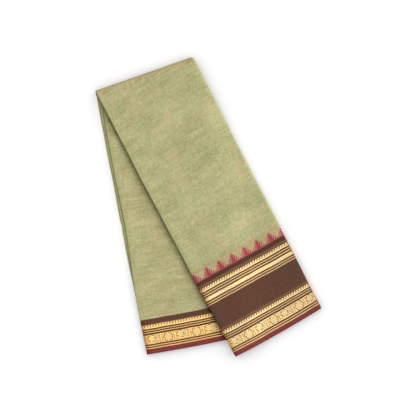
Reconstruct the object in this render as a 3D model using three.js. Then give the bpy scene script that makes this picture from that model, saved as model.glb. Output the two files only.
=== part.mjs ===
// A cotton sari put away the usual way: the long cloth is halved along its length into a narrow
// strip, and the strip is folded once across and fanned out, so that two legs show.
// Millimetres, +Z up. The fold lies along X at the far side and both legs run towards -Y.
import * as THREE from 'three';

// Driving dimensions of the stack of layers
const LAYER = 1.0; // one layer, a bundle of four plies pressed together
const GAP = 0.3; // air between two layers
const HALVINGS = 3; // halvings that the layers are built from
const STRIP_WIDTH = 200; // width of the folded strip
const FULLNESS = 0.6; // how square a pressed fold is: 1 is round, and less is squarer

// Driving dimensions of the plan
const FOLD_LENGTH = 205.4; // the fold across the strip
const NOSE = 1.15; // how much longer than high the fold is
const LEG_EDGES = {
  // degrees away from straight down, and length from the fold to the bottom corner
  front: { left: { lean: 8.5, length: 600 }, right: { lean: 7.9, length: 564 }, bulge: 2.4 },
  back: { left: { lean: -8.2, length: 537 }, right: { lean: -8.9, length: 566.5 }, bulge: 1.5 },
};
const BULGE_POWER = 4; // how late along a leg its bottom edge's bulge sets in
const BACK_LEFT_BOW = 1.4; // how far the back leg's left edge bows out to the side

// How the cloth settles
const RAMP = 62; // run over which the front leg comes down from the back leg to the ground
const INSET = 7; // how far the inner pack's left edge stands back near the fold
const INSET_REACH = 70; // how far into the strip that shift fades out
const INSET_FADE = {
  // the shares of a leg between which the shift fades away
  front: { from: 0, to: 0.4 },
  back: { from: 0.5, to: 0.87 },
};
const FREE_END_INSET = 3; // the free ends lie this far inside the left edge
const PUFF = 0.12; // extra thickness at the front leg's two long edges
const PUFF_REACH = 26; // how far in from an edge that fades out
const PUFF_START = 0.125; // share of the front leg over which it comes up from the fold
const LIFT = 2.6; // how far the back leg's left edge stands up where the inner pack stands back
const LIFT_REACH = 40; // how far in from that edge the lift fades out
const LIFT_START = 0.12; // share of the back leg over which it comes up from the fold
const WAVES = [
  // gentle rises and hollows: share of the height, wave lengths along X and Y, and phase
  { share: 0.026, x: 310, y: 235, phase: 0.6 },
  { share: 0.018, x: -190, y: 160, phase: 2.1 },
  { share: 0.012, x: 120, y: -140, phase: 4.0 },
];

// How finely the surface is cut up
const TURN_STEPS = 6; // steps round a side fold
const ACROSS_STEPS = 6; // stretches across one layer
const FRONT_STEPS = 10; // stretches along the front leg
const BACK_STEPS = 9; // stretches along the back leg
const WRAP_STEPS = 8; // stretches round the fold across the strip

const PITCH = LAYER + GAP;
const LAYERS = 2 ** HALVINGS;
const STACK = LAYERS * PITCH - GAP; // height of one leg
const MID_HEIGHT = STACK + GAP / 2; // height at which the two legs meet
const INNER_PACK = LAYERS / 2; // layers from here on belong to the inner pack

const radians = (degrees) => (degrees * Math.PI) / 180;
const mix = (from, to, share) => from + (to - from) * share;

const full = (value) => Math.sign(value) * Math.abs(value) ** FULLNESS;

function smooth(value) {
  const share = Math.min(1, Math.max(0, value));
  return share * share * (3 - 2 * share);
}

// Halving the cloth again and again leaves its layers in this order, from one free end to the
// other. Layer 0 is on the outside. The ends are tucked inside by the second halving.
function layerOrder(halvings) {
  let order = [0];
  for (let fold = 1; fold <= halvings; fold += 1) {
    const there = order.map((layer, i) => 2 * layer + (i % 2));
    const back = order.map((layer, i) => 2 * layer + 1 - (i % 2));
    order = [...there, ...back.reverse()];
    if (fold === 2) order.reverse();
  }
  return order;
}

const layerHeight = (layer) => layer * PITCH + LAYER / 2;

// The middle of a side fold. Folds that lie in each other share it.
function turnCentre(from, to, onRight) {
  if (onRight) return STRIP_WIDTH - STACK / 2;
  const nested = Math.min(from, to) >= INNER_PACK ? LAYERS / 2 : LAYERS / 4;
  return (nested * PITCH - GAP) / 2;
}

// A side fold from one layer to the next. Each point also has the way to the cloth's left face.
function turn(from, to, onRight) {
  const radius = Math.abs(layerHeight(to) - layerHeight(from)) / 2;
  const middle = (layerHeight(to) + layerHeight(from)) / 2;
  const upward = Math.sign(to - from);
  const outward = onRight ? 1 : -1;
  const points = [];
  for (let step = 0; step <= TURN_STEPS; step += 1) {
    const angle = (step / TURN_STEPS - 0.5) * Math.PI;
    const outAcross = outward * full(Math.cos(angle));
    const outHeight = upward * full(Math.sin(angle));
    points.push({
      across: turnCentre(from, to, onRight) + radius * outAcross,
      height: middle + radius * outHeight,
      faceAcross: -outward * upward * outAcross,
      faceHeight: -outward * upward * outHeight,
      inner: Math.min(from, to) >= INNER_PACK,
    });
  }
  return points;
}

// The cloth's whole path across the stack, back and forth through every layer
function sectionPath() {
  const order = layerOrder(HALVINGS);
  const path = [];
  order.forEach((layer, i) => {
    const rightward = i % 2 === 0;
    const level = {
      height: layerHeight(layer),
      faceAcross: 0,
      faceHeight: rightward ? 1 : -1,
      inner: layer >= INNER_PACK,
    };
    if (i === 0) path.push({ across: FREE_END_INSET, ...level });
    for (let step = 1; step < ACROSS_STEPS; step += 1) {
      const share = rightward ? step / ACROSS_STEPS : 1 - step / ACROSS_STEPS;
      path.push({ across: share * STRIP_WIDTH, ...level });
    }
    if (i === order.length - 1) path.push({ across: FREE_END_INSET, ...level });
    else path.push(...turn(layer, order[i + 1], rightward));
  });
  return path;
}

// Where a leg's long edge is at a share of the way from the fold's middle line to its bottom
function edgePoint(leg, side, share) {
  const { lean, length } = LEG_EDGES[leg][side];
  const direction = new THREE.Vector2(Math.sin(radians(lean)), -Math.cos(radians(lean)));
  const start = (NOSE * MID_HEIGHT) / Math.cos(radians(lean));
  const corner = new THREE.Vector2(side === 'right' ? FOLD_LENGTH : 0, 0);
  if (leg === 'back' && side === 'left') corner.x -= BACK_LEFT_BOW * 4 * share * (1 - share);
  return corner.addScaledVector(direction, mix(start, length, share));
}

// The plan of a leg: a four-sided patch whose bottom edge bulges a little
function legPoint(leg, across, share) {
  const left = edgePoint(leg, 'left', share);
  const right = edgePoint(leg, 'right', share);
  const point = left.clone().lerp(right, across);
  const bow = 4 * across * (1 - across) * share ** BULGE_POWER;
  point.y -= LEG_EDGES[leg].bulge * bow;
  return point;
}

// How far a point of the plan lies outside the back leg, past its right or its bottom edge
function outsideBackLeg(point) {
  const top = edgePoint('back', 'right', 0);
  const corner = edgePoint('back', 'right', 1);
  const foot = edgePoint('back', 'left', 1);
  const past = (from, to) => {
    const run = to.clone().sub(from).normalize();
    const away = point.clone().sub(from);
    return Math.max(0, run.x * away.y - run.y * away.x);
  };
  return Math.hypot(past(top, corner), past(corner, foot));
}

// How far the cloth stands up over and near the back leg's left edge
function leftLift(point) {
  const top = edgePoint('back', 'left', 0);
  const run = edgePoint('back', 'left', 1).sub(top);
  const away = point.clone().sub(top);
  const share = away.dot(run) / run.lengthSq();
  const inside = (away.y * run.x - away.x * run.y) / run.length();
  const { from, to } = INSET_FADE.back;
  const fade = smooth(share / LIFT_START) * (1 - smooth((share - from) / (to - from)));
  return LIFT * fade * (1 - smooth(inside / LIFT_REACH));
}

function unevenness(point) {
  return WAVES.reduce((sum, wave) => {
    const angle = 2 * Math.PI * (point.x / wave.x + point.y / wave.y) + wave.phase;
    return sum + wave.share * Math.sin(angle);
  }, 0);
}

// How much of the inner pack's shift is left at a station along the strip
function shiftLeft(station) {
  if (station.leg === 'wrap') return 1;
  const { from, to } = INSET_FADE[station.leg];
  return 1 - smooth((station.share - from) / (to - from));
}

// Where a point of the section lies across the leg, from 0 at the left to 1 at the right. The
// inner pack's left edge stands back from the outer pack's, less and less towards the bottom.
function acrossLeg(across, inner, station) {
  const shift = inner ? INSET * shiftLeft(station) * (1 - smooth(across / INSET_REACH)) : 0;
  return (across + shift) / STRIP_WIDTH;
}

// The front leg lies on the back leg and comes down to the ground beside it
function frontHeight(plan, across, height, share) {
  const edge = Math.min(across, STRIP_WIDTH - across);
  const puff = 1 + PUFF * (1 - smooth(edge / PUFF_REACH)) * smooth(share / PUFF_START);
  const drop = (STACK + GAP) * smooth(outsideBackLeg(plan) / RAMP);
  return MID_HEIGHT + GAP / 2 + (STACK - height) * puff - drop + leftLift(plan);
}

// One point of the surface. Height is measured into the stack from its outer face.
function place(across, height, inner, station) {
  const lateral = acrossLeg(across, inner, station);
  const onto = (plan, z) => new THREE.Vector3(plan.x, plan.y, z * (1 + unevenness(plan)));
  if (station.leg === 'wrap') {
    const radius = MID_HEIGHT - height;
    const turned = station.share * Math.PI;
    const plan = legPoint('front', lateral, 0).lerp(legPoint('back', lateral, 0), station.share);
    plan.y += NOSE * radius * full(Math.sin(turned));
    return onto(plan, MID_HEIGHT + radius * full(Math.cos(turned)));
  }
  const plan = legPoint(station.leg, lateral, station.share);
  if (station.leg === 'back') return onto(plan, height + (leftLift(plan) * height) / STACK);
  return onto(plan, frontHeight(plan, across, height, station.share));
}

// The places along the strip where its section is set down, from the front leg's bottom edge
// over the fold to the back leg's bottom edge
function stations() {
  const list = [];
  for (let i = 0; i < FRONT_STEPS; i += 1) list.push({ leg: 'front', share: 1 - i / FRONT_STEPS });
  for (let i = 0; i < WRAP_STEPS; i += 1) list.push({ leg: 'wrap', share: i / WRAP_STEPS });
  for (let i = 0; i <= BACK_STEPS; i += 1) list.push({ leg: 'back', share: i / BACK_STEPS });
  return list;
}

// The folded cloth as one closed sheet: both faces, its two free edges and its two end edges
function foldedCloth() {
  const path = sectionPath();
  const rows = stations();
  const positions = [];
  for (const station of rows) {
    for (const side of [1, -1]) {
      for (const point of path) {
        const across = point.across + (side * LAYER * point.faceAcross) / 2;
        const height = point.height + (side * LAYER * point.faceHeight) / 2;
        positions.push(...place(across, height, point.inner, station).toArray());
      }
    }
  }
  const index = (row, side, step) => (row * 2 + side) * path.length + step;
  const faces = [];
  const quad = (a, b, c, d, cutFromA) => {
    if (cutFromA) faces.push(a, c, b, a, d, c);
    else faces.push(a, d, b, b, d, c);
  };
  const last = path.length - 1;
  for (let row = 0; row < rows.length - 1; row += 1) {
    for (let step = 0; step < last; step += 1) {
      const rightward = path[step + 1].across > path[step].across;
      const corners = (side) => [
        index(row, side, step),
        index(row, side, step + 1),
        index(row + 1, side, step + 1),
        index(row + 1, side, step),
      ];
      const [a, b, c, d] = corners(0);
      quad(a, b, c, d, rightward);
      const [e, f, g, h] = corners(1);
      quad(h, g, f, e, !rightward);
    }
    quad(index(row, 0, 0), index(row + 1, 0, 0), index(row + 1, 1, 0), index(row, 1, 0), true);
    quad(index(row, 1, last), index(row + 1, 1, last), index(row + 1, 0, last), index(row, 0, last), true);
  }
  const end = rows.length - 1;
  for (let step = 0; step < last; step += 1) {
    quad(index(0, 0, step), index(0, 1, step), index(0, 1, step + 1), index(0, 0, step + 1), true);
    quad(index(end, 1, step), index(end, 0, step), index(end, 0, step + 1), index(end, 1, step + 1), true);
  }
  const geometry = new THREE.BufferGeometry();
  geometry.setAttribute('position', new THREE.Float32BufferAttribute(positions, 3));
  geometry.setIndex(faces);
  return geometry;
}

// The origin is under the middle of the part, on the ground
function centred(geometry) {
  geometry.computeBoundingBox();
  const { min, max } = geometry.boundingBox;
  geometry.translate(-(min.x + max.x) / 2, -(min.y + max.y) / 2, -min.z);
  geometry.computeVertexNormals();
  return geometry;
}

const cotton = new THREE.MeshStandardMaterial({ color: 0xb4af81, roughness: 0.85, metalness: 0 });
const sari = new THREE.Mesh(centred(foldedCloth()), cotton);
sari.name = 'sari';

const model = new THREE.Group();
model.add(sari);

export default model;
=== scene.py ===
# A cotton sari, folded to a strip and fanned out: the cloth's look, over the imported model.
# Metres, +Z up. The fold across the strip lies along X at +Y, and both legs run towards -Y.
import math

import bpy
import numpy as np
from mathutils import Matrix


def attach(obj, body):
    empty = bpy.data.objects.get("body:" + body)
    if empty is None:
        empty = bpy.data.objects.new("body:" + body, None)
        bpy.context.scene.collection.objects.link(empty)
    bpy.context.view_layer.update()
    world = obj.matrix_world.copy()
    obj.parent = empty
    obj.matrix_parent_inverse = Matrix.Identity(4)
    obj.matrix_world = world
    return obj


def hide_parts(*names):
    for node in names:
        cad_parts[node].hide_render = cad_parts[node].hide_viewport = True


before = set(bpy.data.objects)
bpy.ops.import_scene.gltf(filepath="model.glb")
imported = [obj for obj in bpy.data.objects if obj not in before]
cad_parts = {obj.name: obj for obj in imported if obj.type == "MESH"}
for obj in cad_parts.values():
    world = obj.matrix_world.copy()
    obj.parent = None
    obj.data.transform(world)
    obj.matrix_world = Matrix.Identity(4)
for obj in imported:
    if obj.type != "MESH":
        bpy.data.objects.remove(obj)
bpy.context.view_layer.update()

MM = 0.001

# The picture: a long lens straight overhead, turned so that the fold rises to the right
PICTURE_PIXELS = 416
PIXEL = 2.0 * MM
PICTURE_TURN = math.radians(19.3)
PICTURE_CENTRE = (32.1 * MM, 1.6 * MM)
PICTURE_PLANE = 5 * MM
CAMERA_HEIGHT = 3.0
SENSOR = 36.0

# The light: a bright even surround, a soft lamp on the cloth from the picture's right, and a
# second, very broad one on the floor alone, so that the shadow round the cloth stays even
SURROUND = 0.34
LAMP = 3.4
LAMP_SPREAD = math.radians(72)
LAMP_TILT = math.radians(40)
LAMP_SIDE = math.radians(6)
FLOOR_LAMP = 2.65
FLOOR_LAMP_SPREAD = math.radians(150)
FLOOR_LAMP_TILT = math.radians(15)
FLOOR_WHITE = 0.9
FLOOR_ROUGHNESS = 0.9
FLOOR_HALF = 6.0
# How much brighter the lit cloth shows than its own colour
LIGHT_LEVEL = 1.16

# The cloth and its folds, in millimetres. STACK is one leg's height, and GAP the air between legs
CLOTH_WIDTH = 1130
STRIP_WIDTH = 200
STACK = 10.1
GAP = 0.3
MID_HEIGHT = STACK + GAP / 2
HALVINGS = 5
PLIES = 2**HALVINGS
# Turning the cloth round at this halving brings its free ends inside the outer pack
TURNED_HALVING = 2
# Each leg is two packs of plies, and the outer one takes this share of the height
PACK = PLIES // 2
OUTER_SHARE = 0.68
# The power that makes a fold squarer than a round one
FULLNESS = 0.6

# The plan, in millimetres and degrees: each long edge's lean, its length to the corner, and how
# far the lower edge bulges out
FOLD_LENGTH = 205.4
LEG_EDGES = {
    "front": {"left": (8.5, 600), "right": (7.9, 564), "bulge": 2.4},
    "back": {"left": (-8.2, 537.5), "right": (-8.9, 567), "bulge": 1.5},
}
BULGE_POWER = 4
# How far an edge bows out to the side half way down
SIDE_BOWS = {("front", "left"): 1.0, ("back", "left"): 1.4}
# How far the fold across stands out, as a share of its own radius
NOSE = 1.15
# How far down a leg its creases and side folds are counted, below 0 on the back leg
LEG_RUN = {"front": 580, "wrap": 0, "back": -550}

# How the cloth settles, in millimetres and shares of a leg's length. Past the back leg's edges the
# front leg comes down to the ground over RAMP
RAMP = 62
# The inner pack's left edge stands back, up to where it fades, and the free ends a little
INSET = 7
INSET_REACH = 70
INSET_FADE = {"front": (0, 0.4), "back": (0.5, 0.87)}
FREE_END_INSET = 3
# The long edges puff up by a share of the height
PUFF = 0.12
PUFF_REACH = 26
PUFF_START = 0.125
# The back leg's left edge is lifted
LIFT = 2.6
LIFT_REACH = 40
LIFT_START = 0.12
# The front leg's left edge is pressed in
SEAM = 1.7
SEAM_WIDTH = 5.0
# The side folds wander
WANDER = 0.35
WANDER_REACH = 30
LEFT_WANDER = (
    # strength, millimetres for each radian, phase, and what the inner pack adds to it
    (1.0, 41, 0, 1.7),
    (0.6, 17.3, 0, 2.9),
)
RIGHT_WANDER = (
    (1.0, 53, 0.8, 0),
    (0.5, 19, 2, 0),
)
# The selvedges of the hidden plies stop short
STAGGER = 2.0
STAGGER_POWER = 6
STAGGER_TURN = 2.4
WAVES = (
    # share of the height, wave lengths along X and Y, phase
    (0.026, 310, 235, 0.6),
    (0.018, -190, 160, 2.1),
    (0.012, 120, -140, 4.0),
)
CREASES = (
    # leg, start and end (across the leg, down from the fold), depth, half of the width
    ("front", (190.5, 12), (190.5, 425), 0.55, 2.8),
    ("front", (52, 24), (63, 330), 0.7, 11),
    ("front", (121, 40), (112, 300), 0.6, 13),
    ("front", (86, 180), (92, 420), 0.5, 10),
    ("front", (24, 300), (38, 560), 0.5, 9),
    ("front", (150, 250), (140, 560), 0.5, 12),
    ("back", (0, 272), (44, 258), 0.9, 4.5),
    ("back", (2, 284), (58, 270), -0.5, 5),
    ("back", (0, 296), (30, 292), 0.4, 5),
    ("back", (40, 80), (52, 250), 0.5, 10),
    ("back", (60, 300), (48, 520), 0.5, 11),
)
# How steeply a crease starts and ends, and how much of that rise is done at its very end
CREASE_SLOPE = 4
CREASE_START = 0.3
# A pinch in the back leg's left edge: how far down it is, its half width and its depth
PINCH = (276, 9, 1.1)

# How finely the sheet is cut up: steps round a fold, points across a ply, rows down each part
TURN_STEPS = 4
HALF_ACROSS = (11, 15, 20, 27, 38, 51, 66, 83)
ACROSS = HALF_ACROSS + tuple(STRIP_WIDTH - x for x in reversed(HALF_ACROSS))
FRONT_STEPS = 60
BACK_STEPS = 48
WRAP_STEPS = 14
# The stretch of the back leg with the fine creases has more steps
FINE_STRETCH = (0.46, 0.56)
FINE_STEPS = 18

# The sheet's point attributes that tell the material how close a fold is, and where light is
# painted on the back leg's outer strand
CLOSE_TO = ("at_side", "at_wrap", "strand_painted_light")

# The map for one baked texture: each part of the sheet that shows has a strip of its own. A strip
# holds BAKE_SPAN millimetres along the cloth, and BAKE_DEPTH from the selvedge
BAKE_SPAN = 250.0
BAKE_DEPTH = 605.0
BAKE_STRIPS = {
    # leg and ply: where its strip starts, and how wide it is
    ("front", 0): (0.0, 0.34),
    ("back", PLIES - 1): (0.34, 0.34),
    ("back", 0): (0.69, 0.11),
    ("front", PLIES - 1): (0.8, 0.07),
}
BAKE_HIDDEN = (0.87, 0.13)

# Each pair named EDGE is a soft edge: its mask is 0 at the first number and 1 at the second

# The ground's colours, as they show on a screen, and how strongly each one is laid on
GREEN = (175.5, 176.3, 129.3)
TAN = (183.5, 173.8, 126.8)
TAN_EDGE = (0.3, 0.7)
BACK_TAN = 0.07
SLUB = (206, 160, 108)
SLUB_EDGE = (0.74, 0.84)
SLUB_STRENGTH = 0.5
# Painted shade: the ground turns darker and greener towards a side fold
SIDE_SHADE = (172, 177, 121)
SIDE_SHADE_STRENGTH = 0.6
WRAP_TINT = (181, 167, 125)
WRAP_TINT_STRENGTH = 0.5
# How much of a change in the yarn's lightness red, green and blue take
YARN_CHANNELS = (1.02, 0.9, 1.25)
# The back leg has streaks of its own
BACK_STREAKS = 0.3

# Each noise: size along the cloth and across it in millimetres, detail, roughness
TAN_NOISE = (26, 22, 5.0, 0.7)
SLUB_NOISE = (14, 1.9, 1.0, 0.5)
STREAK_NOISE = (80, 1.9, 1.0, 0.5)
HAZE_NOISE = (2.4, 2.6, 1.0, 0.5)
BORDER_NOISE = (9, 5, 4.0, 0.75)
WOBBLE_NOISE = (30, 60, 2.0, 0.5)
THREAD_NOISE = (2.6, 0.8, 2.0, 0.5)
PICK_NOISE = (0.8, 3.2, 2.0, 0.5)
YARN_NOISES = (
    # the same four numbers, and the noise's strength
    (140, 70, 2.0, 0.6, 0.34),
    (40, 20, 2.0, 0.6, 0.34),
    (9, 8, 2.0, 0.6, 0.30),
    (4.2, 4.0, 2.0, 0.6, 0.54),
    (60, 2.0, 2.0, 0.6, 0.52),
    (2.0, 30, 2.0, 0.6, 0.30),
)

# Where the pattern's rows lie, in millimetres from the selvedge
MOTIF_LOW = 19.6
MOTIF_HIGH = 37.9
LOW_COMB = 50.5
HIGH_COMB = 144.0
TEMPLE_FOOT = 165.8

# The woven bands of each border: where each starts, in millimetres from the selvedge
MAROON = (122, 57, 54)
DARK = (88, 55, 38)
BROWN = (92, 63, 48)
DEEP_BROWN = (78, 54, 40)
LINE = (236, 198, 138)
MOTIF_GOLD = (255, 218, 150)
COMB_GOLD = (255, 231, 166)
WIDE_GOLD = (254, 229, 169)
# Painted shade: the orange that the gold turns towards a side fold
SHADED_EDGE_GOLD = (216, 148, 74)
OPEN_GROUND = None
LOW_BANDS = (
    (0.0, MAROON),
    (10.1, LINE),
    (12.1, DARK),
    (14.6, LINE),
    (16.5, DARK),
    (MOTIF_LOW, MOTIF_GOLD),
    (MOTIF_HIGH, DARK),
    (41.3, LINE),
    (43.1, DARK),
    (45.8, LINE),
    (47.5, DARK),
    (LOW_COMB, COMB_GOLD),
    (54.1, BROWN),
)
HIGH_BANDS = (
    (100.0, BROWN),
    (114.7, LINE),
    (116.5, DARK),
    (119.3, LINE),
    (121.2, DARK),
    (124.3, WIDE_GOLD),
    (131.0, DARK),
    (134.0, LINE),
    (136.3, DARK),
    (139.1, LINE),
    (140.8, DARK),
    (HIGH_COMB, COMB_GOLD),
    (148.2, BROWN),
    (157.9, DEEP_BROWN),
    (TEMPLE_FOOT, OPEN_GROUND),
)
BACK_BANDS = LOW_BANDS + ((69.2, OPEN_GROUND),)
# One ramp of bands reaches this far, and the front border's second one takes over here
RAMP_REACH = 70.0
SECOND_RAMP = 85.0

# How each border differs: where its combs and its first wheel lie, how far its teeth lean, how far
# up the gaps between them are orange, how strong its dots are, and what its gold is multiplied by
BORDERS = {
    "front": {
        "combs": (LOW_COMB, HIGH_COMB),
        "wheel": 45.8,
        "lean": 0.45,
        "gaps": 5.4,
        "dots": 0.55,
        "tint": (1, 1, 1, 1),
    },
    "back": {
        "combs": (LOW_COMB,),
        "wheel": 49.4,
        "lean": 0.12,
        "gaps": 9.0,
        "dots": 0.0,
        "tint": (1.16, 1.035, 0.84, 1),
    },
}
# How bright the pattern is where it counts as gold, the painted shade that turns the gold orange at
# a side fold and darkens the border there, how the border's grain changes its lightness, and how
# red, green and blue take the grain
GOLD_EDGE = (0.18, 0.38)
SHADED_EDGE_GOLD_STRENGTH = 0.7
BORDER_GRAIN_LOW = 0.72
BORDER_GRAIN = 0.56
BORDER_CHANNELS = (1.1, 1.0, 0.9)
BORDER_FOLD_SHADE = 0.28

# How the bands wander, and how much lower the front border's lie at the leg's right: at the
# selvedge, and further up
WOBBLE = 1.6
SLANT_SIDE = (60.0, 190.0)
SLANT_UP = (20, 120)
SLANT_LOW = 0.6
SLANT_HIGH = 1.4
# Half of the stretch where the front leg's pattern passes into the back leg's
HALF_BLEND = 1

# How near a fold the colours change, and how much light is painted on the back leg's outer strand,
# which lies in shade beside the inner pack
SIDE_ZONE = 8.0
WRAP_ZONE = 7.0
STRAND_ZONE = 7.0
STRAND_PAINTED_LIGHT = 0.62

# The diagonal hatch of the gold, with its edges in shares of a step
TWILL_PITCH = 4.0
TWILL_SLOPE = 1.1
TWILL_START_EDGE = (0.0, 0.25)
TWILL_END_EDGE = (0.8, 0.5)
TWILL_LIGHT = 1.1
TWILL_DEPTH = 0.36

# The combs, in millimetres across a tooth, and up from the comb's base
COMB_PITCH = 5.7
TOOTH_EDGE = (1.9, 1.3)
TOOTH_UP = (3.0, 7.4)
NOTCH_EDGE = (1.6, 2.2)
NOTCH_FOOT = 2.3
NOTCH_SOFT = 0.5
NOTCH_ORANGE = (172, 108, 58)
NOTCH_STRENGTH = 0.85
DOT_EDGE = (1.8, 1.2)
DOT_BROWN = (184, 124, 84)
DOT_ROWS = (
    # start and end above the base, and how far the row is shifted, as a share of the pitch
    (8.9, 10.8, 0.0),
    (11.3, 13.0, 0.5),
)

# The row of pointed trees: millimetres across one, and shares of its height
TEMPLE_PITCH = 28.4
TEMPLE_HEIGHT = 18.5
TEMPLE_HALF = 14.0
TREE_CORE = 0.34
TREE_EDGE = (-0.4, 0.5)
TREE_STEM_EDGE = (1.9, 1.1)
TREE_FOOT_EDGE = (-0.02, 0.02)
TREE_TIP_EDGE = (1.04, 0.98)
TREE_RED = (160, 62, 74)
TREE_RIM_RED = (186, 56, 76)
TREE_RIM_EDGE = (2.6, 0.4)
TREE_STRENGTH = 0.97
BARB_PITCH = 6.6
BARB_SLOPE = 1.45
BARB_PAST = 2.4
BARB_START_EDGE = (0.1, 0.35)
BARB_END_EDGE = (0.95, 0.7)
FOOT_LINE = 1.6
FOOT_LINE_RED = (186, 62, 80)
FOOT_LINE_STRENGTH = 0.9
HAZE = (194, 136, 114)
HAZE_EDGE = (0.4, 0.62)
HAZE_TOP = 1.34
HAZE_SOFT = 0.08
HAZE_STRENGTH = 0.5
# Where one peak lies, from the left edge of the ply that shows
FRONT_PEAK = 2.5

# The row of wheels and mangoes in turn, in millimetres from each one's middle
MOTIF_PITCH = 58.4
MOTIF_MARGIN = 0.4
MOTIF_BRIGHTNESS = 0.85
MOTIF_DARK = (116, 67, 38)
WHEEL_RADIUS = 8.6
WHEEL_GROUND_EDGE = (8.8, 7.6)
PETALS = 8
PETAL_DEPTH = 0.8
RING_EDGE = (1.5, 0.8)
RING_OPENING_EDGE = (1.0, 4.0)
RING_STRENGTH = 0.78
VEIN_EDGE = (-0.3, -0.8)
VEIN_REACH = (3.4, 7.6)
VEIN_STRENGTH = 0.5
HUB_RADIUS = 2.4
HUB_EDGE = (0.7, 0.3)
HUB_STRENGTH = 0.4
BUD_PLACE = (-4.0, 1.6)
BUD_RADIUS = 6.6
BUD_EDGE = (1.3, 0.6)
BUD_BREAKS = 5
BUD_BREAK_EDGE = (-0.9, 0.0)
BUD_GROUND_EDGE = (6.6, 5.4)
BUD_STRENGTH = 0.85
HEART_RADIUS = 2.6
HEART_EDGE = (0.8, 0.3)
HEART_STRENGTH = 0.4
LEAF_PITCH = 4.8
LEAF_SLOPE = 0.8
LEAF_REACH = (0.0, 12.0)
LEAF_CLEAR_EDGE = (6.4, 7.4)
LEAF_GAP = (0.05, 0.42, 0.08)
LEAF_GAP_STRENGTH = 0.7
BAR_EDGE = (1.3, 0.6)
BAR_LINES = (1.6, 3.1)
BAR_BREAKS = 1.3
BAR_BREAK_EDGE = (-0.4, 0.4)
BAR_LINE_LOW = 0.35
BAR_LINE_MORE = 0.55

# The cloth's surface
COTTON_ROUGHNESS = 0.92
GOLD_SMOOTHNESS = 0.34
GOLD_METAL = 0.2
COTTON_SPECULAR = 0.12
PICK_RELIEF = 0.6
GOLD_RELIEF = 0.5
BUMP_STRENGTH = 0.4
BUMP_DISTANCE = 0.4 * MM


def linear(red, green, blue):
    """The shader colour that shows as this screen colour, 0 to 255, under the scene's light."""

    def one(value):
        share = value / 255
        lit = share / 12.92 if share <= 0.04045 else ((share + 0.055) / 1.055) ** 2.4
        return lit / LIGHT_LEVEL

    return (one(red), one(green), one(blue), 1.0)


def smooth(value):
    """0 up to 0, 1 from 1 on, and a soft rise between them."""
    share = np.clip(value, 0, 1)
    return share * share * (3 - 2 * share)


def fading(share, span):
    """1 at the start of a span, 0 at its end."""
    start, end = span
    return 1 - smooth((share - start) / (end - start))


def hump(share):
    """0 at 0 and at 1, and 1 half way."""
    return 4 * share * (1 - share)


def full(value):
    """A sine or cosine for the squarer arc of a fold in cloth."""
    return math.copysign(abs(value) ** FULLNESS, value)


# Folding


def ply_order(halvings):
    """The plies from one free end of the cloth to the other. Ply 0 is on the outside."""
    order = [0]
    for fold in range(1, halvings + 1):
        there = [2 * ply + i % 2 for i, ply in enumerate(order)]
        back = [2 * ply + 1 - i % 2 for i, ply in enumerate(order)]
        order = there + back[::-1]
        if fold == TURNED_HALVING:
            order.reverse()
    return order


def ply_height(ply):
    """The outer pack, which holds the free ends, is the thicker one."""
    place = (ply + 0.5) / PACK
    if place < 1:
        return place * OUTER_SHARE * STACK
    return (OUTER_SHARE + (place - 1) * (1 - OUTER_SHARE)) * STACK


def holds_free_end(ply):
    return PLIES // 4 <= ply < PLIES // 2


def nest_reach(order):
    """The radius of the outermost of the folds that lie in each other, by side and pair's sum."""
    reach = {}
    for i, (ply, following) in enumerate(zip(order, order[1:])):
        key = (i % 2, ply + following)
        radius = abs(ply_height(following) - ply_height(ply)) / 2
        reach[key] = max(reach.get(key, 0), radius)
    return reach


def section_path():
    """The cloth's way across the stack: one row for each point, with its columns named."""
    order = ply_order(HALVINGS)
    nests = nest_reach(order)
    rows = []
    for i, ply in enumerate(order):
        rightward = i % 2 == 0
        if i == 0:
            rows.append((FREE_END_INSET, ply_height(ply), ply))
        rows += [(x, ply_height(ply), ply) for x in (ACROSS if rightward else ACROSS[::-1])]
        if i == len(order) - 1:
            rows.append((FREE_END_INSET, ply_height(ply), ply))
            continue
        following = order[i + 1]
        reach = nests[i % 2, ply + following]
        tuck = FREE_END_INSET if holds_free_end(ply) and not rightward else 0
        centre = STRIP_WIDTH - reach if rightward else tuck + reach
        radius = abs(ply_height(following) - ply_height(ply)) / 2
        middle = (ply_height(ply) + ply_height(following)) / 2
        for step in range(TURN_STEPS + 1):
            angle = math.pi * (step / TURN_STEPS - 0.5)
            outward = radius * full(math.cos(angle)) * (1 if rightward else -1)
            upward = radius * full(math.sin(angle)) * (1 if following > ply else -1)
            rows.append((centre + outward, middle + upward, min(ply, following)))
    path = np.array(rows, dtype=float)
    steps = np.hypot(np.diff(path[:, 0]), np.diff(path[:, 1]))
    return {
        "across": path[:, 0],
        "height": path[:, 1],
        "ply": path[:, 2],
        "along_cloth": np.concatenate([[0], np.cumsum(steps)]),
    }


# The plan and the way the stack settles


def edge_point(leg, side, share):
    """A point on a leg's long edge: 0 where the fold across ends, 1 at the lower corner."""
    lean, length = LEG_EDGES[leg][side]
    lean = math.radians(lean)
    start = NOSE * MID_HEIGHT / math.cos(lean)
    reach = start + (length - start) * share
    corner = FOLD_LENGTH if side == "right" else 0
    bow = SIDE_BOWS.get((leg, side), 0) * hump(share)
    return np.array([corner + reach * math.sin(lean) - bow, -reach * math.cos(lean)])


def leg_plan(leg, lateral, share):
    """Where one row of points lies in plan, from their places across the leg."""
    left, right = edge_point(leg, "left", share), edge_point(leg, "right", share)
    plan = left[:, None] + (right - left)[:, None] * lateral
    plan[1] -= LEG_EDGES[leg]["bulge"] * hump(lateral) * share**BULGE_POWER
    return plan


def leg_length(leg, lateral):
    """How far the leg reaches past the fold across, at each place across it."""
    left, right = LEG_EDGES[leg]["left"][1], LEG_EDGES[leg]["right"][1]
    return left + (right - left) * lateral - NOSE * MID_HEIGHT


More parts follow.
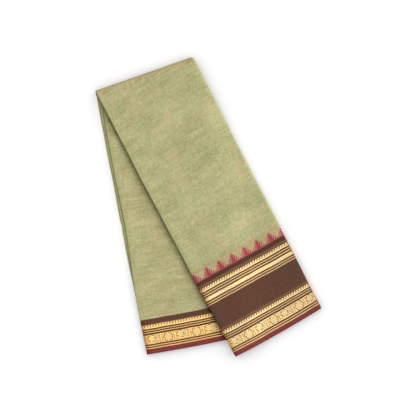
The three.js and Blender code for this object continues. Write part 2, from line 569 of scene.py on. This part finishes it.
def outside_back_leg(plan):
    """How far each point is past the back leg's right and lower edges."""
    top, corner = edge_point("back", "right", 0), edge_point("back", "right", 1)
    foot = edge_point("back", "left", 1)

    def past(start, end):
        run = (end - start) / np.linalg.norm(end - start)
        away = plan - start[:, None]
        return np.maximum(0, run[0] * away[1] - run[1] * away[0])

    return np.hypot(past(top, corner), past(corner, foot))


def left_lift(plan):
    """How far the back leg's left edge stands up where its inner pack stands back."""
    top, foot = edge_point("back", "left", 0), edge_point("back", "left", 1)
    length = np.linalg.norm(foot - top)
    run = (foot - top) / length
    away = plan - top[:, None]
    share = (away[0] * run[0] + away[1] * run[1]) / length
    inside = away[1] * run[0] - away[0] * run[1]
    fade = smooth(share / LIFT_START) * fading(share, INSET_FADE["back"])
    return LIFT * fade * (1 - smooth(inside / LIFT_REACH))


def seam(plan):
    """How far the front leg's left edge is pressed into the back leg under it."""
    top, foot = edge_point("front", "left", 0), edge_point("front", "left", 1)
    run = (foot - top) / np.linalg.norm(foot - top)
    away = plan - top[:, None]
    outside = run[0] * away[1] - run[1] * away[0]
    return SEAM * np.exp(-((outside / SEAM_WIDTH) ** 2))


def unevenness(plan):
    """Broad rises and hollows, as a share of the height."""
    total = 0
    for share, x, y, phase in WAVES:
        total = total + share * np.sin(2 * np.pi * (plan[0] / x + plan[1] / y) + phase)
    return total


def wander(waves, run, inner):
    """How far a side fold strays, at one row of the sheet."""
    parts = (
        strength * np.sin(run / length + phase + own * inner)
        for strength, length, phase, own in waves
    )
    return WANDER * sum(parts)


def lateral_place(path, leg, share, run):
    """Where each point lies across the leg, 0 to 1. The inner pack's left edge stands back."""
    across, inner = path["across"], path["ply"] >= PACK
    standing_back = fading(share, INSET_FADE[leg]) if leg in INSET_FADE else 1
    shift = np.where(inner, INSET * standing_back * (1 - smooth(across / INSET_REACH)), 0)
    near_left = 1 - smooth(across / WANDER_REACH)
    near_right = 1 - smooth((STRIP_WIDTH - across) / WANDER_REACH)
    shift += near_left * (wander(LEFT_WANDER, run, inner) - WANDER)
    shift += near_right * wander(RIGHT_WANDER, run, inner)
    if leg == "back":
        below, width, depth = PINCH
        shift += depth * near_left * math.exp(-(((-run - below) / width) ** 2))
    return (across + shift) / STRIP_WIDTH


def creases(path, leg, run):
    """How deep the soft troughs of a leg's upper face are, in one row of the sheet."""
    total = 0
    for on, start, end, depth, width in CREASES:
        if on != leg:
            continue
        start, end = np.array(start, dtype=float), np.array(end, dtype=float)
        length = np.linalg.norm(end - start)
        way = (end - start) / length
        x, y = path["across"] - start[0], abs(run) - start[1]
        along = (x * way[0] + y * way[1]) / length
        away = (x * way[1] - y * way[0]) / width
        ends = smooth(CREASE_SLOPE * along + CREASE_START)
        ends = ends * smooth(CREASE_SLOPE * (1 - along) + CREASE_START)
        total = total + depth * ends * np.exp(-(away**2))
    return total


def front_height(path, plan, share, run):
    """The front leg lies turned over on the back one, and comes down to the ground beside it."""
    across, inward = path["across"], STACK - path["height"]
    edge = np.minimum(across, STRIP_WIDTH - across)
    puff = 1 + PUFF * (1 - smooth(edge / PUFF_REACH)) * smooth(share / PUFF_START)
    drop = (STACK + GAP) * smooth(outside_back_leg(plan) / RAMP)
    sunk = creases(path, "front", run) * inward / STACK
    sunk = sunk + seam(plan) * (1 - inward / STACK)
    return MID_HEIGHT + GAP / 2 + inward * puff - sunk - drop + left_lift(plan)


def back_height(path, plan, run):
    """The back leg lies flat on the ground, and only its upper face is pressed."""
    height = path["height"]
    sunk = (creases(path, "back", run) + seam(plan)) * (height / STACK) ** 2
    return height - sunk + left_lift(plan) * height / STACK


def ply_stagger(path):
    """How far each ply's selvedge stops short of the ones that show."""
    short = [
        0 if ply in (0, PLIES - 1) else STAGGER * (1 + math.sin(STAGGER_TURN * ply)) / 2
        for ply in ply_order(HALVINGS)
    ]
    middles = (np.arange(PLIES) + 0.5) * path["along_cloth"][-1] / PLIES
    return np.interp(path["along_cloth"], middles, short)


def stations():
    """The sheet's rows: the leg or the fold across, and the share of its length."""
    rows = [("front", 1 - i / FRONT_STEPS) for i in range(FRONT_STEPS)]
    rows += [("wrap", i / WRAP_STEPS) for i in range(WRAP_STEPS)]
    low, high = FINE_STRETCH
    plain = [i / BACK_STEPS for i in range(BACK_STEPS + 1)]
    fine = [low + (high - low) * i / FINE_STEPS for i in range(FINE_STEPS + 1)]
    shares = sorted([share for share in plain if not low <= share <= high] + fine)
    return rows + [("back", share) for share in shares]


def sheet_row(path, stagger, leg, share):
    """One row of the sheet: its points in millimetres, and how far along the width it is."""
    run = share * LEG_RUN[leg]
    lateral = lateral_place(path, leg, share, run)
    front, back = leg_length("front", lateral), leg_length("back", lateral)
    if leg == "wrap":
        radius = MID_HEIGHT - path["height"]
        plan = leg_plan("front", lateral, 0) * (1 - share) + leg_plan("back", lateral, 0) * share
        plan[1] += NOSE * radius * full(math.sin(math.pi * share))
        z = MID_HEIGHT + radius * full(math.cos(math.pi * share))
        width = front + (CLOTH_WIDTH - back - front) * share
    else:
        plan = leg_plan(leg, lateral, share)
        plan[1] += stagger * share**STAGGER_POWER
        if leg == "front":
            z = front_height(path, plan, share, run)
            width = front * (1 - share)
        else:
            z = back_height(path, plan, run)
            width = CLOTH_WIDTH - back * (1 - share)
    return np.array([plan[0], plan[1], z * (1 + unevenness(plan))]), width


def closeness(path, leg, share):
    """1 on a side fold, on the fold across, and for painted light on the back leg's outer strand,
    down to 0 a little away.
    """
    edge = np.minimum(path["across"], STRIP_WIDTH - path["across"])
    at_side = 1 - smooth(edge / SIDE_ZONE)
    run = 0 if leg == "wrap" else share * LEG_EDGES[leg]["left"][1]
    at_wrap = np.full_like(edge, 1 - smooth(run / WRAP_ZONE))
    outer = (path["ply"] < PACK) & (path["across"] < STRIP_WIDTH / 2) & (leg == "back")
    # Painted light on the back leg's outer strand, which stays in shade beside the inner pack above
    # it
    painted_light = fading(share, INSET_FADE["back"]) * (1 - smooth(edge / STRAND_ZONE))
    strand_painted_light = np.where(outer, painted_light, 0)
    return at_side, at_wrap, strand_painted_light


def bake_map(path, widths):
    """Where the four corners of each face lie in the texture."""
    along, ply = path["along_cloth"], path["ply"].astype(int)
    level = path["height"] == np.array([ply_height(one) for one in ply])
    middles = np.array([along[level & (ply == one)].mean() for one in range(PLIES)])
    # From here on one number for each face, not for each point
    ply = ply[:-1]
    rows = len(widths) - 1
    on_front = np.arange(rows)[:, None] < FRONT_STEPS + WRAP_STEPS // 2
    low = np.full((rows, len(ply)), BAKE_HIDDEN[0])
    size = np.full((rows, len(ply)), BAKE_HIDDEN[1])
    for (leg, one), (start, width) in BAKE_STRIPS.items():
        chosen = (on_front == (leg == "front")) & (ply == one)
        low[chosen], size[chosen] = start, width
    left = low + size * (0.5 + (along[:-1] - middles[ply]) / BAKE_SPAN)
    right = low + size * (0.5 + (along[1:] - middles[ply]) / BAKE_SPAN)
    depth = [
        [np.where(on_front, w, CLOTH_WIDTH - w) / BAKE_DEPTH for w in (part[:, :-1], part[:, 1:])]
        for part in (widths[:-1], widths[1:])
    ]
    corners = ((left, depth[0][0]), (left, depth[1][0]), (right, depth[1][1]), (right, depth[0][1]))
    return np.stack([np.stack(corner, -1) for corner in corners], -2)


def cloth_mesh():
    """The whole folded sheet. Its UV map holds metres along and across the flat cloth."""
    path = section_path()
    stagger = ply_stagger(path)
    rows, widths = zip(*(sheet_row(path, stagger, *station) for station in stations()))
    points = np.array(rows).transpose(0, 2, 1).reshape(-1, 3)
    low, high = points.min(0), points.max(0)
    points -= [(low[0] + high[0]) / 2, (low[1] + high[1]) / 2, 0]
    columns = len(path["across"])
    index = np.arange(len(rows) * columns).reshape(len(rows), columns)
    corners = (index[:-1, :-1], index[1:, :-1], index[1:, 1:], index[:-1, 1:])
    faces = np.stack([corner.ravel() for corner in corners], 1)
    mesh = bpy.data.meshes.new("sari_cloth")
    mesh.from_pydata((points * MM).tolist(), [], faces.tolist())
    mesh.polygons.foreach_set("use_smooth", [True] * len(faces))
    flat = np.empty((len(rows), columns, 2))
    flat[:, :, 0] = path["along_cloth"] * MM
    flat[:, :, 1] = np.array(widths) * MM
    layer = mesh.uv_layers.new(name="cloth")
    layer.uv.foreach_set("vector", flat.reshape(-1, 2)[faces.ravel()].ravel())
    baked = mesh.uv_layers.new(name="OFBake")
    baked.uv.foreach_set("vector", bake_map(path, np.array(widths)).ravel())
    close = np.array([closeness(path, *station) for station in stations()])
    for column, name in enumerate(CLOSE_TO):
        values = mesh.attributes.new(name, "FLOAT", "POINT").data
        values.foreach_set("value", close[:, column].ravel())
    return mesh, path


def ply_start(path, ply):
    """How far along the cloth a ply's left edge is, and which way the cloth runs there."""
    plies_before = ply_order(HALVINGS).index(ply)
    chosen = np.flatnonzero((path["ply"] == ply) & (path["height"] == ply_height(ply)))
    across, along = path["across"][chosen], path["along_cloth"][chosen]
    way = 1 if plies_before % 2 == 0 else -1
    return along[0] - way * across[0], way


# The woven pattern


class Graph:
    """The nodes of one material, with short names for the sums that a pattern needs."""

    def __init__(self, material):
        material.use_nodes = True
        self.tree = material.node_tree
        self.tree.nodes.clear()

    def add(self, kind, **settings):
        node = self.tree.nodes.new(f"ShaderNode{kind}")
        for name, value in settings.items():
            setattr(node, name, value)
        return node

    def feed(self, socket, value):
        if isinstance(value, bpy.types.NodeSocket):
            self.tree.links.new(value, socket)
        else:
            socket.default_value = value

    def finish(self, shader):
        output = self.add("OutputMaterial")
        self.feed(output.inputs["Surface"], shader.outputs[0])

    def math(self, operation, *values):
        node = self.add("Math", operation=operation)
        for socket, value in zip(node.inputs, values):
            self.feed(socket, value)
        return node.outputs[0]

    def joined(self, operation, values):
        total = values[0]
        for value in values[1:]:
            total = self.math(operation, total, value)
        return total

    def times(self, *values):
        return self.joined("MULTIPLY", values)

    def plus(self, *values):
        return self.joined("ADD", values)

    def either(self, *masks):
        return self.joined("MAXIMUM", masks)

    def minus(self, first, second):
        return self.math("SUBTRACT", first, second)

    def away(self, value, place=0.0):
        """How far a value is from a place, on either side."""
        return self.math("ABSOLUTE", self.minus(value, place))

    def wave(self, value, turn):
        """A cosine of the value times this turn, from -1 to 1."""
        return self.math("COSINE", self.times(value, turn))

    def step(self, value, pitch):
        """How far through its step a value is, 0 to 1."""
        return self.math("FRACT", self.times(value, 1 / pitch))

    def repeat(self, value, pitch, start):
        """How far a place is from the nearest repeat, from minus to plus half the pitch."""
        share = self.step(self.minus(value, start - pitch / 2), pitch)
        return self.times(self.minus(share, 0.5), pitch)

    def rise(self, value, low, high):
        """0 below low, 1 above high, or the other way round if high is below low."""
        node = self.add("MapRange", interpolation_type="SMOOTHSTEP")
        reverse = high < low
        for name, number in zip(("From Min", "From Max"), (min(low, high), max(low, high))):
            node.inputs[name].default_value = number
        node.inputs["To Min"].default_value = 1.0 if reverse else 0.0
        node.inputs["To Max"].default_value = 0.0 if reverse else 1.0
        self.feed(node.inputs["Value"], value)
        return node.outputs[0]

    def within(self, value, low, high, soft=0.35):
        return self.times(
            self.rise(value, low - soft, low + soft), self.rise(value, high + soft, high - soft)
        )

    def polar(self, x, y):
        squares = self.plus(self.times(x, x), self.times(y, y))
        return self.math("SQRT", squares), self.math("ARCTAN2", y, x)

    def vector(self, x, y, z=0.0):
        node = self.add("CombineXYZ")
        for socket, value in zip(node.inputs, (x, y, z)):
            self.feed(socket, value)
        return node.outputs[0]

    def noise(self, u, v, along, across, detail, roughness):
        """Noise from 0 to 1, its blotches as long and as wide as this in millimetres."""
        node = self.add("TexNoise", noise_dimensions="2D")
        place = self.vector(self.times(u, 1 / along), self.times(v, 1 / across))
        self.feed(node.inputs["Vector"], place)
        node.inputs["Scale"].default_value = 1.0
        node.inputs["Detail"].default_value = detail
        node.inputs["Roughness"].default_value = roughness
        return node.outputs[0]

    def swing(self, noise, strength):
        """A noise that goes to either side of 0."""
        return self.times(self.minus(noise, 0.5), strength)

    def mix(self, share, first, second, blend="MIX"):
        node = self.add("Mix", data_type="RGBA", blend_type=blend)
        self.feed(node.inputs[0], share)
        self.feed(node.inputs[6], first)
        self.feed(node.inputs[7], second)
        return node.outputs[2]

    def painted(self, colour, mask, over, strength=1.0):
        """The colour with a screen colour laid over it where the mask is 1."""
        return self.mix(self.times(mask, strength), colour, linear(*over))

    def shaded(self, colour, lightness, uneven=(1, 1, 1)):
        """The colour made lighter or darker, each channel by its share. 1 leaves it as it is."""
        change = self.minus(lightness, 1.0)
        channels = [self.plus(1.0, self.times(change, share)) for share in uneven]
        return self.mix(1.0, colour, self.vector(*channels), "MULTIPLY")


def band_ramp(graph, bands, depth):
    """The plain colours of some bands, and where they are. A ramp is coarse, so it is short."""
    first = bands[0][0]
    far_end = 0.99
    node = graph.add("ValToRGB")
    ramp = node.color_ramp
    ramp.interpolation = "CONSTANT"
    for i, (start, colour) in enumerate(bands):
        # A ramp starts with two elements. Each new one is made at its far end, then moved
        element = ramp.elements[i] if i < 2 else ramp.elements.new(far_end)
        element.position = (start - first) / RAMP_REACH
        element.color = (0, 0, 0, 0) if colour is OPEN_GROUND else linear(*colour)
    graph.feed(node.inputs[0], graph.times(graph.minus(depth, first), 1 / RAMP_REACH))
    return node.outputs[0], node.outputs[1]


def front_bands(graph, depth):
    low, low_border = band_ramp(graph, LOW_BANDS, depth)
    high, high_border = band_ramp(graph, HIGH_BANDS, depth)
    second = graph.math("GREATER_THAN", depth, SECOND_RAMP)
    return graph.mix(second, low, high), graph.times(low_border, high_border)


def ground_colour(graph, u, v, on_back, at_side, at_wrap, strand_painted_light):
    """Sage cotton shot with tan. Its uneven yarn gives streaks, blotches and slubs."""
    tan = graph.plus(graph.noise(u, v, *TAN_NOISE), graph.times(on_back, BACK_TAN))
    colour = graph.mix(graph.rise(tan, *TAN_EDGE), linear(*GREEN), linear(*TAN))
    # Painted shade at the side folds
    colour = graph.painted(colour, at_side, SIDE_SHADE, SIDE_SHADE_STRENGTH)
    colour = graph.painted(colour, at_wrap, WRAP_TINT, WRAP_TINT_STRENGTH)
    slub = graph.rise(graph.noise(u, v, *SLUB_NOISE), *SLUB_EDGE)
    colour = graph.painted(colour, slub, SLUB, SLUB_STRENGTH)
    streaks = graph.swing(graph.noise(u, v, *STREAK_NOISE), BACK_STREAKS)
    lightness = graph.plus(
        1.0,
        *(graph.swing(graph.noise(u, v, *noise), strength) for *noise, strength in YARN_NOISES),
        # painted light on the back leg's outer strand
        graph.times(strand_painted_light, STRAND_PAINTED_LIGHT),
        graph.times(streaks, on_back),
    )
    return graph.shaded(colour, lightness, YARN_CHANNELS)


def temple_row(graph, u, depth, start, colour):
    """The row of pointed trees over the wide border, each with barbs up both sides."""
    up = graph.minus(depth, TEMPLE_FOOT)
    height = graph.times(up, 1 / TEMPLE_HEIGHT)
    side = graph.away(graph.repeat(u, TEMPLE_PITCH, start))
    barb = graph.step(graph.minus(up, graph.times(side, BARB_SLOPE)), BARB_PITCH)
    barb = graph.times(graph.rise(barb, *BARB_START_EDGE), graph.rise(barb, *BARB_END_EDGE))
    room = graph.minus(1.0, height)
    core = graph.times(room, TREE_CORE * TEMPLE_HALF)
    reach = graph.plus(graph.times(room, (1 - TREE_CORE) * TEMPLE_HALF), BARB_PAST)
    inside = graph.minus(graph.plus(core, graph.times(barb, reach)), side)
    tree = graph.either(graph.rise(inside, *TREE_EDGE), graph.rise(side, *TREE_STEM_EDGE))
    tree = graph.times(
        tree, graph.rise(height, *TREE_FOOT_EDGE), graph.rise(height, *TREE_TIP_EDGE)
    )

    haze = graph.rise(graph.noise(u, depth, *HAZE_NOISE), *HAZE_EDGE)
    haze = graph.times(haze, graph.within(height, 0.0, HAZE_TOP, HAZE_SOFT))
    colour = graph.painted(colour, haze, HAZE, HAZE_STRENGTH)
    rim = graph.rise(inside, *TREE_RIM_EDGE)
    red = graph.mix(rim, linear(*TREE_RED), linear(*TREE_RIM_RED))
    colour = graph.mix(graph.times(tree, TREE_STRENGTH), colour, red)
    line = graph.within(depth, TEMPLE_FOOT, TEMPLE_FOOT + FOOT_LINE)
    return graph.painted(colour, line, FOOT_LINE_RED, FOOT_LINE_STRENGTH)


def comb_row(graph, u, depth, low, way, sizes, colour):
    """Slanting gold teeth on a gold base, with rows of dots beyond."""
    up = graph.minus(depth, low)
    leaning = graph.minus(u, graph.times(up, sizes["lean"] * way))
    side = graph.away(graph.repeat(leaning, COMB_PITCH, 0.0))
    tooth = graph.times(graph.rise(side, *TOOTH_EDGE), graph.within(up, *TOOTH_UP))
    colour = graph.painted(colour, tooth, COMB_GOLD)
    notch = graph.within(up, NOTCH_FOOT, sizes["gaps"], NOTCH_SOFT)
    notch = graph.times(notch, graph.rise(side, *NOTCH_EDGE))
    colour = graph.painted(colour, notch, NOTCH_ORANGE, NOTCH_STRENGTH)
    for start, end, shift in DOT_ROWS:
        side = graph.away(graph.repeat(u, COMB_PITCH, shift * COMB_PITCH))
        dot = graph.times(graph.rise(side, *DOT_EDGE), graph.within(up, start, end))
        colour = graph.painted(colour, dot, DOT_BROWN, sizes["dots"])
    return colour


def twill(graph, u, depth, way, colour, gold):
    """The diagonal hatch that the gold thread makes where it crosses the ground."""
    place = graph.plus(graph.times(u, way), graph.times(depth, TWILL_SLOPE))
    share = graph.step(place, TWILL_PITCH)
    hatch = graph.times(graph.rise(share, *TWILL_START_EDGE), graph.rise(share, *TWILL_END_EDGE))
    return graph.shaded(colour, graph.minus(TWILL_LIGHT, graph.times(hatch, gold, TWILL_DEPTH)))


def wheel(graph, x, y):
    """An eight-petalled wheel: its dark lines, and the bright round under them."""
    radius, angle = graph.polar(x, y)
    petals = graph.wave(angle, PETALS)
    rim = graph.plus(WHEEL_RADIUS, graph.times(petals, PETAL_DEPTH))
    ring = graph.rise(graph.away(radius, rim), *RING_EDGE)
    ring = graph.times(ring, graph.rise(graph.away(x), *RING_OPENING_EDGE))
    veins = graph.times(graph.rise(petals, *VEIN_EDGE), graph.within(radius, *VEIN_REACH))
    hub = graph.rise(graph.away(radius, HUB_RADIUS), *HUB_EDGE)
    lines = graph.either(
        graph.times(ring, RING_STRENGTH),
        graph.times(veins, VEIN_STRENGTH),
        graph.times(hub, HUB_STRENGTH),
    )
    return lines, graph.rise(radius, *WHEEL_GROUND_EDGE)


def mango(graph, x, y):
    """A mango: a round head at the upper left, and slanting leaves at its lower right."""
    bud_x, bud_y = BUD_PLACE
    radius, angle = graph.polar(graph.minus(x, bud_x), graph.minus(y, bud_y))
    rim = graph.rise(graph.away(radius, BUD_RADIUS), *BUD_EDGE)
    rim = graph.times(rim, graph.rise(graph.wave(angle, BUD_BREAKS), *BUD_BREAK_EDGE))
    heart = graph.rise(graph.away(radius, HEART_RADIUS), *HEART_EDGE)
    leaves = graph.times(graph.within(x, *LEAF_REACH), graph.rise(radius, *LEAF_CLEAR_EDGE))
    share = graph.step(graph.plus(x, graph.times(y, LEAF_SLOPE)), LEAF_PITCH)
    gap = graph.times(graph.within(share, *LEAF_GAP), leaves)
    lines = graph.either(
        graph.times(rim, BUD_STRENGTH),
        graph.times(heart, HEART_STRENGTH),
        graph.times(gap, LEAF_GAP_STRENGTH),
    )
    return lines, graph.either(graph.rise(radius, *BUD_GROUND_EDGE), leaves)


def divider(graph, x, y):
    """The bars between wheels and mangoes, each a bright one between two broken dark lines."""
    side = graph.away(graph.away(x), MOTIF_PITCH / 4)
    broken = graph.rise(graph.wave(y, BAR_BREAKS), *BAR_BREAK_EDGE)
    strength = graph.plus(BAR_LINE_LOW, graph.times(broken, BAR_LINE_MORE))
    return graph.times(graph.within(side, *BAR_LINES), strength), graph.rise(side, *BAR_EDGE)


def motif_row(graph, u, depth, start, way, colour):
    """Wheels and mangoes in turn, in dark outline on the gold."""
    inside = graph.within(depth, MOTIF_LOW + MOTIF_MARGIN, MOTIF_HIGH - MOTIF_MARGIN)
    y = graph.minus(depth, (MOTIF_LOW + MOTIF_HIGH) / 2)
    at_wheel = graph.times(graph.repeat(u, MOTIF_PITCH, start), way)
    at_mango = graph.times(graph.repeat(u, MOTIF_PITCH, start + MOTIF_PITCH / 2), way)
    parts = (wheel(graph, at_wheel, y), mango(graph, at_mango, y), divider(graph, at_wheel, y))
    lines, bright = (graph.either(*masks) for masks in zip(*parts))
    colour = graph.painted(colour, graph.times(bright, inside), WIDE_GOLD, MOTIF_BRIGHTNESS)
    return graph.painted(colour, graph.times(lines, inside), MOTIF_DARK)


def bordered(graph, u, depth, ground, at_side, leg, bands, start, way):
    """One end of the cloth: its bands, combs and motifs, and the mask of its gold."""
    colour, border = bands
    sizes = BORDERS[leg]
    for low in sizes["combs"]:
        colour = comb_row(graph, u, depth, low, way, sizes, colour)
    colour = motif_row(graph, u, depth, start + way * sizes["wheel"], way, colour)
    brightness = graph.add("RGBToBW")
    graph.feed(brightness.inputs[0], colour)
    gold = graph.times(graph.rise(brightness.outputs[0], *GOLD_EDGE), border)
    colour = twill(graph, u, depth, way, colour, gold)
    colour = graph.mix(gold, colour, sizes["tint"], "MULTIPLY")
    # Painted shade: the gold turns orange towards a side fold
    colour = graph.painted(colour, graph.times(gold, at_side), SHADED_EDGE_GOLD, SHADED_EDGE_GOLD_STRENGTH)
    grain = graph.times(graph.noise(u, depth, *BORDER_NOISE), BORDER_GRAIN)
    colour = graph.shaded(colour, graph.plus(BORDER_GRAIN_LOW, grain), BORDER_CHANNELS)
    # Painted shade: the border darkens towards a side fold
    fold_shade = graph.times(at_side, at_side, BORDER_FOLD_SHADE)
    colour = graph.shaded(colour, graph.minus(1.0, fold_shade))
    return graph.mix(border, ground, colour), gold


def border_depths(graph, u, v, front_start):
    """How far each place is from the front leg's selvedge and from the back leg's."""
    wobble = graph.swing(graph.noise(u, v, *WOBBLE_NOISE), WOBBLE)
    across = graph.away(graph.repeat(u, 2.0 * STRIP_WIDTH, front_start))
    slant = graph.plus(SLANT_LOW, graph.times(graph.rise(v, *SLANT_UP), SLANT_HIGH))
    slant = graph.times(graph.rise(across, *SLANT_SIDE), slant)
    back = graph.minus(graph.minus(float(CLOTH_WIDTH), v), wobble)
    return graph.plus(v, wobble, slant), back


def cotton_material(path):
    material = bpy.data.materials.new("sari_cotton")
    graph = Graph(material)
    flat = graph.add("UVMap", uv_map="cloth")
    split = graph.add("SeparateXYZ")
    graph.feed(split.inputs[0], flat.outputs[0])
    u, v = (graph.times(split.outputs[i], 1 / MM) for i in (0, 1))
    close = [graph.add("Attribute", attribute_name=name).outputs["Fac"] for name in CLOSE_TO]
    at_side = close[0]
    front_start, front_way = ply_start(path, 0)
    back_start, back_way = ply_start(path, PLIES - 1)
    front_depth, back_depth = border_depths(graph, u, v, front_start)
    on_front = graph.rise(v, CLOTH_WIDTH / 2 + HALF_BLEND, CLOTH_WIDTH / 2 - HALF_BLEND)
    ground = ground_colour(graph, u, v, graph.minus(1.0, on_front), *close)

    bands = front_bands(graph, front_depth)
    front, front_gold = bordered(
        graph, u, front_depth, ground, at_side, "front", bands, front_start, front_way
    )
    front = temple_row(graph, u, front_depth, front_start + front_way * FRONT_PEAK, front)
    bands = band_ramp(graph, BACK_BANDS, back_depth)
    back, back_gold = bordered(
        graph, u, back_depth, ground, at_side, "back", bands, back_start, back_way
    )
    gold = graph.either(front_gold, back_gold)

    shader = graph.add("BsdfPrincipled")
    graph.feed(shader.inputs["Base Color"], graph.mix(on_front, back, front))
    rough = graph.minus(COTTON_ROUGHNESS, graph.times(gold, GOLD_SMOOTHNESS))
    graph.feed(shader.inputs["Roughness"], rough)
    graph.feed(shader.inputs["Metallic"], graph.times(gold, GOLD_METAL))
    shader.inputs["Specular IOR Level"].default_value = COTTON_SPECULAR
    relief = graph.plus(
        graph.noise(u, v, *THREAD_NOISE),
        graph.times(graph.noise(u, v, *PICK_NOISE), PICK_RELIEF),
        graph.times(gold, GOLD_RELIEF),
    )
    bump = graph.add("Bump")
    bump.inputs["Strength"].default_value = BUMP_STRENGTH
    bump.inputs["Distance"].default_value = BUMP_DISTANCE
    graph.feed(bump.inputs["Height"], relief)
    graph.feed(shader.inputs["Normal"], bump.outputs[0])
    graph.finish(shader)
    return material


# Picture


def add_camera():
    camera = bpy.data.objects.new("camera", bpy.data.cameras.new("camera"))
    bpy.context.scene.collection.objects.link(camera)
    camera.location = (*PICTURE_CENTRE, CAMERA_HEIGHT)
    camera.rotation_euler = (0, 0, -PICTURE_TURN)
    camera.data.sensor_width = SENSOR
    camera.data.lens = SENSOR * (CAMERA_HEIGHT - PICTURE_PLANE) / (PICTURE_PIXELS * PIXEL)
    bpy.context.scene.camera = camera


def add_lights(sari, floor):
    world = bpy.data.worlds.new("surround")
    world.use_nodes = True
    background = world.node_tree.nodes["Background"]
    background.inputs["Color"].default_value = (1, 1, 1, 1)
    background.inputs["Strength"].default_value = SURROUND
    bpy.context.scene.world = world
    # The lamp leans over towards the picture's right and a little up
    lean = (0, LAMP_TILT, LAMP_SIDE - PICTURE_TURN)
    add_lamp("lamp", LAMP, LAMP_SPREAD, lean, sari)
    add_lamp("floor_lamp", FLOOR_LAMP, FLOOR_LAMP_SPREAD, (-FLOOR_LAMP_TILT, 0, 0), floor)


def add_lamp(name, strength, spread, lean, lit):
    """A far lamp that lights one object alone. Everything still casts its shadow."""
    lamp = bpy.data.objects.new(name, bpy.data.lights.new(name, "SUN"))
    lamp.data.energy = strength
    lamp.data.angle = spread
    lamp.rotation_euler = lean
    bpy.context.scene.collection.objects.link(lamp)
    lit_by = bpy.data.collections.new(f"lit_by_{name}")
    lit_by.objects.link(lit)
    lamp.light_linking.receiver_collection = lit_by


def add_floor():
    mesh = bpy.data.meshes.new("floor")
    corners = [(FLOOR_HALF * x, FLOOR_HALF * y, 0) for x, y in ((-1, -1), (1, -1), (1, 1), (-1, 1))]
    mesh.from_pydata(corners, [], [(0, 1, 2, 3)])
    floor = bpy.data.objects.new("floor", mesh)
    bpy.context.scene.collection.objects.link(floor)
    material = bpy.data.materials.new("floor")
    graph = Graph(material)
    shader = graph.add("BsdfPrincipled")
    shader.inputs["Base Color"].default_value = (FLOOR_WHITE, FLOOR_WHITE, FLOOR_WHITE, 1)
    shader.inputs["Roughness"].default_value = FLOOR_ROUGHNESS
    shader.inputs["Specular IOR Level"].default_value = 0.0
    graph.finish(shader)
    mesh.materials.append(material)
    return floor


def add_sari():
    mesh, path = cloth_mesh()
    sari = bpy.data.objects.new("sari_cloth", mesh)
    bpy.context.scene.collection.objects.link(sari)
    mesh.materials.append(cotton_material(path))
    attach(sari, "root")
    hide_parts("sari")
    return sari


add_camera()
add_lights(add_sari(), add_floor())
bpy.context.scene.view_settings.view_transform = "Standard"

bpy.context.view_layer.update()
